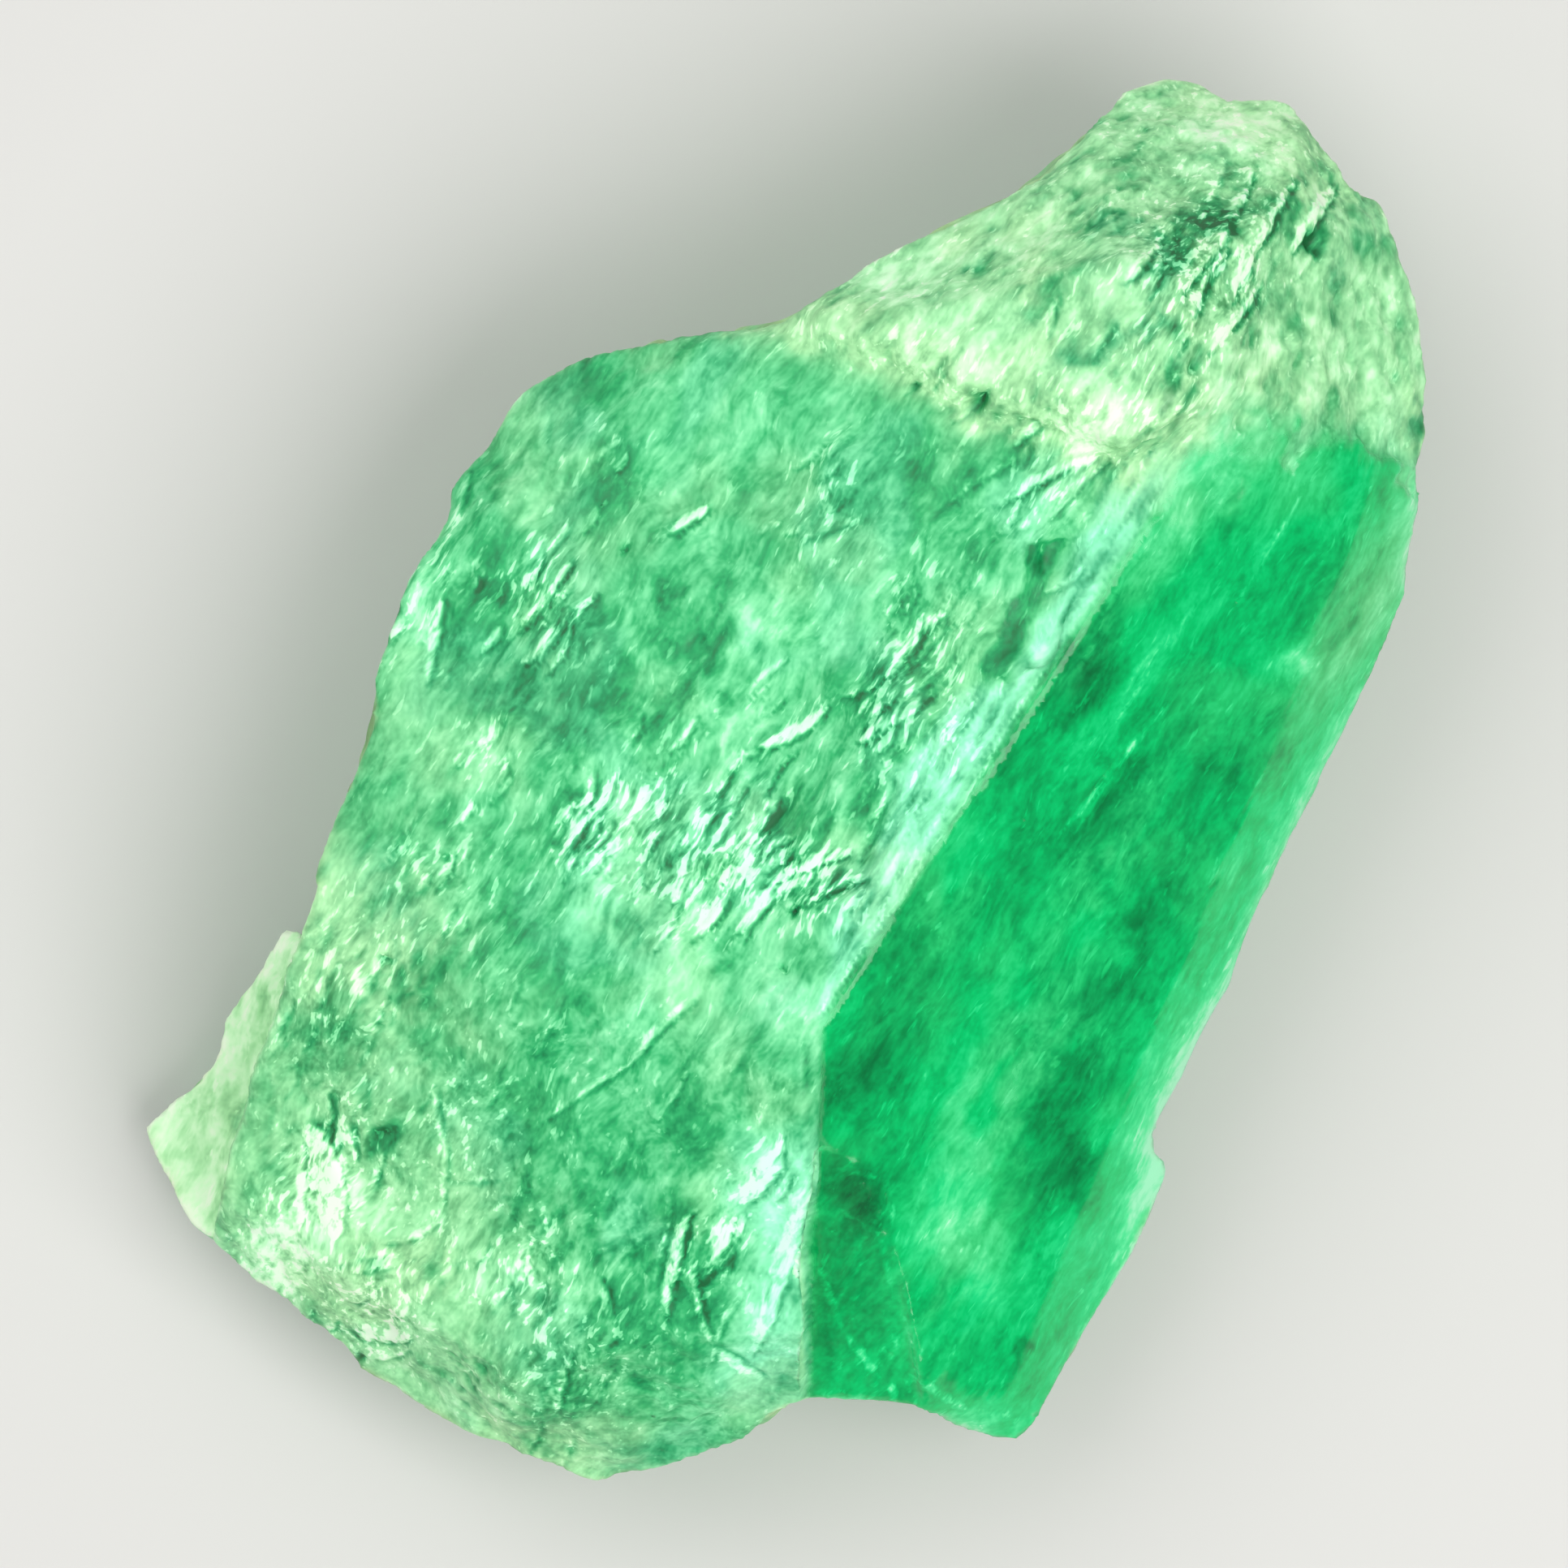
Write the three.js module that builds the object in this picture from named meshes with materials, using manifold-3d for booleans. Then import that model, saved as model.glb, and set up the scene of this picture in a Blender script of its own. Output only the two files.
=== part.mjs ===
// Raw emerald crystal: one broken piece of a hexagonal beryl prism, lying on a flat fracture face.
// Millimetres, +Z up. Seen from above, the crystal's long axis runs from lower left to upper right.
// One clear prism face falls away to the right of the ridge. Everything else is broken surface:
// a wide rough face on the left, a raised cap at the upper end and a thin shelf at the lower left.

import * as THREE from 'three';
import { mergeVertices } from 'three/addons/utils/BufferGeometryUtils.js';
import Module from 'manifold-3d';

// Driving sizes
const BLANK_HEIGHT = 12;      // height of the block before the top faces are broken away
const CUT_TOP = 13;           // where an upright cutting prism ends, above the block
const CUT_SIZE = 60;          // a cutting block larger than the crystal
const CAP_RISE = 0.8;         // step from the wide rough face up to the cap
const PANEL_DEPTH = 0.3;      // shallow flake missing beside the ridge
const HOLLOW_STEP = 0.8;      // longest edge on a rounded hollow
const LONG_AXIS_HEADING = 59; // degrees from +X
const MERGE_DISTANCE = 1e-5;

const wasm = await Module();
wasm.setup();

const at = (x, y, z) => new THREE.Vector3(x, y, z);
const UP = at(0, 0, 1);

// The plan outline, clockwise from the upper end
const OUTLINE = [
  [7.04, 13.0], [7.69, 12.9], [8.2, 12.5], [9.3, 12.55], [9.8, 12.1], [10.4, 11.0],      // upper end
  [11.0, 10.7], [11.3, 10.0], [11.7, 8.9], [11.95, 6.7], [11.9, 5.6], [11.6, 4.6],       // right lobe
  [11.5, 3.5], [11.0, 2.3], [9.8, -0.15], [9.0, -1.8], [8.3, -3.7], [7.5, -5.25],        // prism side
  [6.9, -6.35], [6.85, -6.65], [7.15, -7.1], [7.0, -7.8], [6.0, -9.5], [5.4, -10.5],     // notch
  [4.7, -11.85], [4.35, -12.2], [3.8, -12.15], [2.3, -11.5], [0.6, -11.35], [0.0, -11.6],
  [-0.6, -12.1], [-1.5, -12.5], [-3.5, -13.0], [-4.8, -12.45], [-6.7, -11.7],            // lower end
  [-7.9, -10.9], [-8.1, -10.5], [-9.7, -9.2], [-11.0, -8.2], [-11.7, -7.0],
  [-11.95, -6.4], [-11.4, -5.8], [-10.8, -5.4], [-10.5, -5.0], [-10.5, -4.4],            // thin shelf
  [-10.0, -3.9], [-9.6, -3.45], [-9.3, -2.8], [-8.7, -2.0], [-8.1, -0.2], [-7.6, 1.3],
  [-7.6, 1.9], [-6.9, 3.8], [-6.3, 4.7], [-6.2, 5.4], [-5.1, 6.7], [-4.8, 7.2],          // left side
  [-4.0, 7.7], [-1.9, 8.35], [-0.3, 8.5], [0.3, 8.7], [1.8, 9.75], [4.2, 10.9],
  [5.0, 11.55], [6.3, 12.75],
];

// Corners where the top faces meet, shared by the faces on either side
const RIDGE_TOP = at(7.1, 5.5, 9.3);
const RIDGE_LOW = at(0.64, -4.45, 9.4);
const RIDGE_FOOT = at(0.5, -11.3, 6.9);
const STRIP_CORNER = at(4.4, 4.9, 9.12);
const LEFT_RIM = at(-7.9, 0.6, 6.6);

// A closed three.js geometry as a solid that can be cut and joined
function solid(geometry) {
  const bare = geometry.clone();
  bare.deleteAttribute('normal');
  bare.deleteAttribute('uv');
  const merged = mergeVertices(bare, MERGE_DISTANCE);
  return new wasm.Manifold(new wasm.Mesh({
    numProp: 3,
    vertProperties: new Float32Array(merged.attributes.position.array),
    triVerts: new Uint32Array(merged.index.array),
  }));
}

// An upright prism over a plan outline, from one height to another
function prism(points, bottom, top) {
  const shape = new THREE.Shape(points.map(([x, y]) => new THREE.Vector2(x, y)));
  const geometry = new THREE.ExtrudeGeometry(shape, { depth: top - bottom, bevelEnabled: false });
  return solid(geometry.translate(0, 0, bottom));
}

// The block above a top face that is given by three of its corners. Taken away from the crystal,
// it leaves that face flat.
function blockAbove(a, b, c) {
  const normal = b.clone().sub(a).cross(c.clone().sub(a)).normalize();
  if (normal.z < 0) normal.negate();
  const block = new THREE.BoxGeometry(CUT_SIZE, CUT_SIZE, CUT_SIZE);
  block.translate(0, 0, CUT_SIZE / 2);
  block.applyQuaternion(new THREE.Quaternion().setFromUnitVectors(UP, normal));
  return solid(block.translate(a.x, a.y, a.z));
}

// The block outside a side face that touches the outline at one point. The face looks towards
// its heading, in degrees from +X, and leans in towards the foot by the given degrees.
function blockOutside({ rim, heading, lean, width = CUT_SIZE }) {
  const block = new THREE.BoxGeometry(CUT_SIZE, width, CUT_SIZE);
  block.translate(CUT_SIZE / 2, 0, 0);
  block.rotateY(THREE.MathUtils.degToRad(lean));
  block.rotateZ(THREE.MathUtils.degToRad(heading));
  return solid(block.translate(rim.x, rim.y, rim.z));
}

// A shallow hollow, as a blow leaves in glassy material: its middle on the surface, the way the
// surface faces there, the radius of its curve, its depth, and how far it is drawn out along the
// crystal's long axis
function hollow({ middle, facing, radius, depth, stretch }) {
  const segments = Math.round(2 * Math.PI * radius / HOLLOW_STEP);
  const ball = new THREE.SphereGeometry(radius, segments, Math.ceil(segments / 2));
  ball.scale(stretch, 1, 1);
  ball.rotateZ(THREE.MathUtils.degToRad(LONG_AXIS_HEADING));
  const direction = facing.clone().normalize();
  ball.applyQuaternion(new THREE.Quaternion().setFromUnitVectors(UP, direction));
  const centre = middle.clone().addScaledVector(direction, radius - depth);
  return solid(ball.translate(centre.x, centre.y, centre.z));
}

// Faces of the top, each through three of its corners. The cap's own level lies above them all.
const lift = (point, rise) => point.clone().add(at(0, 0, rise));
const CAP_TOP = [
  [lift(RIDGE_LOW, CAP_RISE), lift(STRIP_CORNER, CAP_RISE), lift(LEFT_RIM, CAP_RISE)],
  [at(2.6, 9.0, 8.6), at(6.5, 10.6, 8.9), at(4.0, 11.3, 6.6)],         // flank above the left side
  [at(5.5, 10.8, 8.4), at(9.0, 10.3, 8.2), at(7.5, 13.0, 5.0)],        // upper end
  [at(8.6, 9.8, 8.5), at(9.2, 6.4, 8.6), at(12.0, 8.0, 5.2)],          // right lobe
  [at(10.6, 9.2, 7.0), at(9.2, 11.4, 6.8), at(11.6, 10.6, 4.6)],
];

// Faces of the top below the cap, which stop at the riser of the cap
const BELOW_CAP = [
  [-14, 9.6], [-1.2, 8.75], [0.6, 8.35], [2.0, 7.9], [3.5, 7.0], [5.0, 6.75], [6.2, 6.1],
  [7.6, 6.9], [9.0, 6.95], [10.3, 6.6], [12.4, 5.6], [14, 5.2], [14, -14], [-14, -14],
];
const TOP_FACES = [
  [RIDGE_LOW, RIDGE_TOP, at(8.3, -3.7, 5.0)],                          // the clear prism face
  [RIDGE_LOW, RIDGE_TOP, STRIP_CORNER],                                // narrow strip by the ridge
  [RIDGE_LOW, STRIP_CORNER, LEFT_RIM],                                 // the wide rough face
  [at(-9.3, -2.8, 6.5), at(0.3, -6.2, 9.2), at(-8.0, -10.6, 4.5)],     // its lower part, turned down
  [at(0.5, -6.6, 8.8), RIDGE_FOOT, at(-3.5, -12.6, 5.6)],              // lower end, left of the ridge
  [at(-7.4, 3.2, 6.4), at(-2.0, 8.0, 7.0), at(-5.2, 6.8, 5.6)],        // upper left corner
  [at(10.6, 4.0, 6.4), at(6.2, -6.4, 5.2), at(8.9, -2.2, 4.6)],        // bevel along the prism side
  [at(1.2, -10.4, 6.9), at(4.3, -11.1, 4.6), at(2.8, -12.0, 4.6)],     // broken lower right end
  [at(-10.2, -8.0, 4.2), at(-5.0, -11.6, 4.6), at(-7.2, -11.2, 2.9)],  // thin lower left edge
  [at(-5.0, -11.8, 4.5), at(-0.8, -11.2, 5.8), at(-2.6, -12.8, 3.6)],
];

// Side faces that lean in below the widest part. One with a width ends before its neighbours.
const UNDERSIDE = [
  { rim: at(9.8, -0.15, 3.4), heading: -21, lean: 24 },                // next prism face
  { rim: at(4.7, -11.85, 2.7), heading: -29.6, lean: 28 },
  { rim: at(11.95, 6.7, 4.5), heading: 4, lean: 30 },
  { rim: at(11.0, 10.7, 4.6), heading: 34, lean: 36 },
  { rim: at(7.3, 13.0, 4.8), heading: 84, lean: 38 },
  { rim: at(-4.0, 7.7, 5.0), heading: 116, lean: 27 },
  { rim: at(-5.1, 6.7, 4.8), heading: 134, lean: 34 },
  { rim: at(-7.6, 1.5, 4.7), heading: 161, lean: 24, width: 9 },
  { rim: at(-11.95, -6.4, 0.9), heading: 143, lean: 20, width: 9 },
  { rim: at(-7.9, -10.9, 1.7), heading: 229, lean: 46 },
  { rim: at(-3.5, -13.0, 2.6), heading: 246, lean: 42 },
  { rim: at(-1.5, -12.5, 3.3), heading: 292, lean: 35, width: 5.8 },
  { rim: at(2.6, -12.0, 2.6), heading: 265, lean: 33, width: 7 },
];

// Steps that break down into the top: plan outline, then three points of the floor
const STEPS = [
  {                                                                    // the thin shelf, lower left
    plan: [[-8.55, -1.8], [-9.1, -3.4], [-9.45, -4.6], [-10.0, -5.9], [-10.45, -6.7], [-10.65, -8.6],
      [-14, -9], [-14, -1.8]],
    floor: [at(-9.5, -4.0, 2.7), at(-10.4, -8.0, 2.3), at(-11.9, -6.4, 1.3)],
  },
  {                                                                    // dark flake at the lower end
    plan: [[0.5, -6.6], [1.76, -7.0], [2.5, -11.0], [2.7, -13], [0.45, -13], [0.35, -11.0]],
    floor: [at(1.76, -7.0, 7.9), at(2.5, -11.0, 5.45), at(0.5, -9.0, 6.9)],
  },
  {                                                                    // lath-like panel by the ridge
    plan: [[4.25, 2.1], [4.85, 2.3], [5.45, 4.7], [4.75, 4.6]],
    floor: [at(4.25, 2.1, 9.3 - PANEL_DEPTH), at(4.85, 2.3, 9.35 - PANEL_DEPTH),
      at(4.75, 4.6, 9.1 - PANEL_DEPTH)],
  },
];

// The shallow basin in the middle of the rough face, and a fainter one towards its lower end
const HOLLOWS = [
  { middle: at(-0.9, -1.1, 8.6), facing: at(-0.24, 0.13, 0.96), radius: 12, depth: 0.38, stretch: 1.4 },
  { middle: at(-4.6, -7.2, 7.0), facing: at(-0.35, -0.29, 0.89), radius: 15, depth: 0.2, stretch: 1.6 },
];

function emeraldCrystal() {
  // The outline is drawn about the middle of its box, so the origin is under the crystal's middle
  let crystal = prism(OUTLINE, 0, BLANK_HEIGHT);
  for (const face of CAP_TOP) crystal = crystal.subtract(blockAbove(...face));

  const belowCap = prism(BELOW_CAP, 0, CUT_TOP);
  for (const face of TOP_FACES) crystal = crystal.subtract(blockAbove(...face).intersect(belowCap));
  for (const { plan, floor } of STEPS) {
    crystal = crystal.subtract(blockAbove(...floor).intersect(prism(plan, 0, CUT_TOP)));
  }
  for (const face of UNDERSIDE) crystal = crystal.subtract(blockOutside(face));
  for (const basin of HOLLOWS) crystal = crystal.subtract(hollow(basin));

  const cut = crystal.getMesh();
  const geometry = new THREE.BufferGeometry();
  geometry.setAttribute('position', new THREE.BufferAttribute(cut.vertProperties, 3));
  geometry.setIndex(new THREE.BufferAttribute(cut.triVerts, 1));
  return geometry;
}

// Emerald with a glassy, partly frosted surface
const emerald = new THREE.MeshStandardMaterial({ color: 0x4fc98a, roughness: 0.4, metalness: 0 });
const crystal = new THREE.Mesh(emeraldCrystal(), emerald);
crystal.name = 'emerald_crystal';

const specimen = new THREE.Group();
specimen.add(crystal);

export default specimen;
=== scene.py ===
# Raw emerald: one broken piece of a six-sided beryl prism, lying on a flat fracture face.
# The stone comes first, then what grew sealed inside it, then the floor, the lights and the camera.
# The stone is shaped in millimetres and brought to metres before it gets its finish.

import itertools
import math

import bpy
import numpy as np
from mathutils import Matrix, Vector
from mathutils.bvhtree import BVHTree


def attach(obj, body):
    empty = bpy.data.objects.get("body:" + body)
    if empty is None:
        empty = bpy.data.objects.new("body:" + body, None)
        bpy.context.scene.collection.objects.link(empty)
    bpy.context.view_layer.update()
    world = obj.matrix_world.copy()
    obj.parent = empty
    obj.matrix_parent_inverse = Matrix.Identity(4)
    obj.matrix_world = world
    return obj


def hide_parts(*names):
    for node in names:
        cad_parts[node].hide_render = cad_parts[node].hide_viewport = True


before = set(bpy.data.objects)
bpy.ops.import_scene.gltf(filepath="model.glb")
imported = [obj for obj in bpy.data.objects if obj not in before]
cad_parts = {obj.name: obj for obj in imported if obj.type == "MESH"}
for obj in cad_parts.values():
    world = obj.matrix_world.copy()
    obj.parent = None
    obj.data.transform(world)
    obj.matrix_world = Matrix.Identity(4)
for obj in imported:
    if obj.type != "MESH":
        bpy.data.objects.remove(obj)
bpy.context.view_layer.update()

# ---- The crystal --------------------------------------------------------------------------------
# Beryl coloured green by a trace of chromium. It grew as a long six-sided prism and was broken out
# of its vein: one growth face is left, clear and finely grooved. The rest is fracture, frosted by
# splinters and hackle that run with the prism's long axis.

MILLIMETRE = 0.001
LONG_AXIS = math.radians(58.7)   # the prism's axis, from +X
ALONG = np.array([math.cos(LONG_AXIS), math.sin(LONG_AXIS), 0])
ACROSS = np.array([math.sin(LONG_AXIS), -math.cos(LONG_AXIS), 0])


def select_only(piece):
    bpy.ops.object.select_all(action="DESELECT")
    piece.select_set(True)
    bpy.context.view_layer.objects.active = piece


def apply_modifier(piece, kind, **settings):
    modifier = piece.modifiers.new(kind.title(), kind)
    for name, value in settings.items():
        setattr(modifier, name, value)
    select_only(piece)
    bpy.ops.object.modifier_apply(modifier=modifier.name)


def read(mesh_items, name, width=3):
    """A mesh's places, normals or values as rows of numbers"""
    rows = np.empty(len(mesh_items) * width)
    mesh_items.foreach_get(name, rows)
    return rows.reshape(-1, width) if width > 1 else rows


# A copy of the faceted blank, merged and brought to millimetres, is the start. The blank as it was
# is kept to measure how thick the stone is.
crystal = bpy.data.objects.new("crystal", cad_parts["emerald_crystal"].data.copy())
bpy.context.scene.collection.objects.link(crystal)
crystal.data.materials.clear()
crystal.scale = [1 / MILLIMETRE] * 3
select_only(crystal)
bpy.ops.object.transform_apply(scale=True)
bpy.ops.object.mode_set(mode="EDIT")
bpy.ops.mesh.select_all(action="SELECT")
bpy.ops.mesh.remove_doubles(threshold=1e-4)
bpy.ops.object.mode_set(mode="OBJECT")
blank = BVHTree.FromObject(crystal, bpy.context.evaluated_depsgraph_get())

# An even, fine skin that the surface is then worked on
SKIN_STEP = 0.085                # millimetres between its points
apply_modifier(crystal, "REMESH", mode="VOXEL", voxel_size=SKIN_STEP, adaptivity=0)
apply_modifier(crystal, "SMOOTH", factor=0.5, iterations=3)


# Where the kinds of surface lie, as outlines drawn in plan. The clear face is the growth face, and
# the cap is the raised, broken end.
CLEAR_FACE = [(0.5, -13.5), (0.45, -11.3), (0.64, -4.45), (7.1, 5.5), (7.6, 6.9), (9.0, 6.95),
              (10.3, 6.6), (12.6, 5.4), (14, -2), (8, -14)]
CAP = [(-1.2, 8.75), (0.6, 8.35), (2.0, 7.9), (3.5, 7.0), (5.0, 6.75), (6.2, 6.1), (7.6, 6.9),
       (9.0, 6.95), (10.3, 6.6), (12.4, 5.6), (14, 14), (-2, 14)]
# A pale strip with fine lines lies along the ridge, with a smooth, darker panel beside it
STRIP = [(6.1, 5.9), (6.9, 6.2), (7.1, 5.5), (0.64, -4.45), (1.1, -2.4), (2.1, 0.2), (3.1, 1.7),
         (4.2, 2.0), (5.3, 4.5)]
PANEL = [(3.5, 2.1), (4.15, 1.95), (4.5, 2.9), (5.2, 4.6), (4.5, 4.4), (4.3, 3.5)]
# A chip came off the clear face at its lower end, and its upper corner is half frosted
FLAKE = [(0.5, -6.6), (1.76, -7.0), (2.15, -9.0), (2.6, -11.6), (0.4, -11.6), (0.4, -9.5)]
FROSTED_CORNER = [(4.6, 1.6), (7.0, 5.6), (8.9, 6.9), (9.5, 6.2), (7.9, 4.6), (6.4, 3.0), (5.3, 1.5)]
# A thin shelf sticks out at the lower left
SHELF = [(-8.55, -1.8), (-9.1, -3.4), (-9.45, -4.6), (-10.0, -5.9), (-10.45, -6.7),
         (-10.65, -8.6), (-14, -9), (-14, -1.8)]
# Lines: the step up to the cap, the whole border of the cap, and the ridge
RISER = [(-0.6, 8.6), (0.9, 8.2), (2.1, 7.75), (3.5, 6.9), (5.0, 6.6), (6.2, 6.1), (7.4, 6.7)]
CAP_BORDER = RISER + [(9.0, 6.95), (10.3, 6.6), (12.2, 5.7)]
RIDGE = [(0.5, -11.3), (0.64, -4.45), (7.1, 5.5)]


def inside(plan, corners):
    """How many millimetres each place lies inside a plan outline. Outside, it is negative."""
    within = np.zeros(len(plan), bool)
    nearest = np.full(len(plan), np.inf)
    for start, end in zip(corners, corners[1:] + corners[:1]):
        start, end = np.array(start), np.array(end)
        edge = end - start
        offset = plan - start
        share = np.clip(offset @ edge / (edge @ edge), 0, 1)
        nearest = np.minimum(nearest, np.linalg.norm(offset - share[:, None] * edge, axis=1))
        crossed = (start[1] > plan[:, 1]) != (end[1] > plan[:, 1])
        meets = start[0] + offset[:, 1] * edge[0] / (edge[1] or 1e-9)
        within ^= crossed & (plan[:, 0] < meets)
    return np.where(within, nearest, -nearest)


def reaches_away(plan, middle, along, across):
    """The square of how far each place is from a middle, counted in reaches along and across the
    long axis"""
    offset = plan - middle
    return (offset @ ALONG[:2] / along) ** 2 + (offset @ ACROSS[:2] / across) ** 2


def distance(plan, line):
    """How far each place is from a line of points drawn in plan"""
    nearest = np.full(len(plan), np.inf)
    for start, end in zip(line, line[1:]):
        start, edge = np.array(start), np.array(end) - np.array(start)
        offset = plan - start
        share = np.clip(offset @ edge / (edge @ edge), 0, 1)
        nearest = np.minimum(nearest, np.linalg.norm(offset - share[:, None] * edge, axis=1))
    return nearest


def depth_of_stone(places, normals):
    """How thick the stone is straight through each place, from its upper or its lower side"""
    depths = np.zeros(len(places))
    for number, ((x, y, z), side) in enumerate(zip(places, np.sign(normals[:, 2]))):
        far_side = blank.ray_cast(Vector((x, y, -20 * side)), Vector((0, 0, side)))[0]
        depths[number] = abs(z - far_side.z) if far_side else 0
    return depths


def soften(chosen, rounds):
    """Wear the chosen part of the skin down, a little more each round"""
    worn = crystal.vertex_groups.new(name="worn")
    worn.add(np.flatnonzero(chosen).tolist(), 1.0, "REPLACE")
    apply_modifier(crystal, "SMOOTH", factor=0.5, iterations=rounds, vertex_group="worn")
    crystal.vertex_groups.clear()


# Only the ridge, the chipped flake and the thin outer edge stay sharp
places = read(crystal.data.vertices, "co")
facing = read(crystal.data.vertex_normals, "vector")
plan = places[:, :2]
deep_enough = depth_of_stone(places, facing) > 1.0
away_from_edges = (deep_enough & (distance(plan, RIDGE) > 0.35)
                   & (np.abs(inside(plan, FLAKE)) > 0.15) & (places[:, 2] > 0.5))
soften(away_from_edges, 30)
# The clear face rolls over to its outer side and to its lower end
lower_end = (plan[:, 1] < -9.3) & (plan[:, 0] > 2.9)
soften((inside(plan, CLEAR_FACE) > 0.3) & ((distance(plan, RIDGE) > 3.6) | lower_end)
       & away_from_edges, 200)
# The panel is a shallow dip in the strip
dip = inside(plan, [(3.9, 1.6), (5.3, 1.9), (5.8, 5.0), (4.3, 4.9)]) > 0
soften(dip & away_from_edges, 60)
# The step up to the cap is worn to a slope
soften((distance(plan, CAP_BORDER) < 1.4) & (facing[:, 2] > -0.3) & (places[:, 2] > 3)
       & (deep_enough | (plan[:, 0] < 9)), 240)


def step(low, high, values):
    """0 below low, 1 above high, and an even turn between them"""
    share = np.clip((values - low) / (high - low), 0, 1)
    return share * share * (3 - 2 * share)


def lumps(places, size, octaves=3, seed=0, stretch=1):
    """Even noise, about -1 to 1, in lumps of the given size in millimetres, drawn out along the
    long axis by stretch. Each further octave is half as large and half as strong."""
    draw = np.random.default_rng(seed)
    order = np.tile(draw.permutation(256), 3)
    slopes = draw.normal(size=(256, 3))
    slopes /= np.linalg.norm(slopes, axis=1)[:, None]
    place = np.column_stack([places @ ALONG / stretch, places @ ACROSS, places[:, 2]]) / size
    total = np.zeros(len(places))
    for octave in range(octaves):
        cell = np.floor(place).astype(int)
        inner = place - cell
        fade = inner ** 3 * (inner * (inner * 6 - 15) + 10)
        for corner in itertools.product((0, 1), repeat=3):
            x, y, z = ((cell + corner) & 255).T
            slope = slopes[order[order[order[x] + y] + z]]
            weight = np.prod(np.where(corner, fade, 1 - fade), axis=1)
            total += weight * np.einsum("ij,ij->i", slope, inner - corner) / 2 ** octave
        place = place * 2 + 31.7
    return total * 1.7


skin = crystal.data
rest = read(skin.vertices, "co")
facing = read(skin.vertex_normals, "vector")
plan = rest[:, :2]
top = step(0.05, 0.35, facing[:, 2])              # 1 on what is seen from above

# The plan places are shifted a little, so that no border is ruled
shift = np.column_stack([lumps(rest, 0.9, 3, seed) for seed in (1, 2)]) * 0.16
wandering = plan + shift
clear = (step(-0.05, 0.12, inside(plan + shift * 0.15, CLEAR_FACE))
         * step(-0.05, 0.12, facing[:, 2]))
corner = step(-0.1, 0.5, inside(wandering, FROSTED_CORNER)) * clear
clear *= 1 - 0.35 * corner
clear *= step(0.0, 0.7, distance(plan + shift * 4, CAP_BORDER))
cap = step(-0.5, 0.5, inside(plan + shift * 3, CAP)) * top
strip = step(-0.15, 0.3, inside(wandering, STRIP)) * top * (1 - clear)
panel = step(-0.04, 0.08, inside(plan + shift * 0.7, PANEL)) * top
flake = step(-0.04, 0.06, inside(plan + shift * 0.2, FLAKE)) * top
shelf = step(-0.05, 0.2, inside(wandering, SHELF)) * top
riser = np.exp(-(distance(wandering, RISER) / 0.55) ** 2) * top
from_ridge = distance(plan, RIDGE)
basin = np.exp(-reaches_away(plan, (-0.9, -1.2), 2.6, 2.0)) * top
rough = 1 - clear * (1 - 0.25 * flake)

# Thin edges are paler, and an iron stain sits on the outermost rim. The walls are the steep sides,
# and the foot is the flat underside.
thickness = depth_of_stone(rest, facing)
thin = step(3.6, 0.6, thickness) * top
edge = step(1.2, 0.15, thickness) * top
rim = step(0.45, 0.05, thickness) * step(0.5, 1.5, rest[:, 2])
rim *= step(-0.5, 0.3, lumps(rest, 0.6, 2, 41))
wall = step(0.3, 0.0, facing[:, 2])
foot = step(-0.9, -0.99, facing[:, 2])

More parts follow.
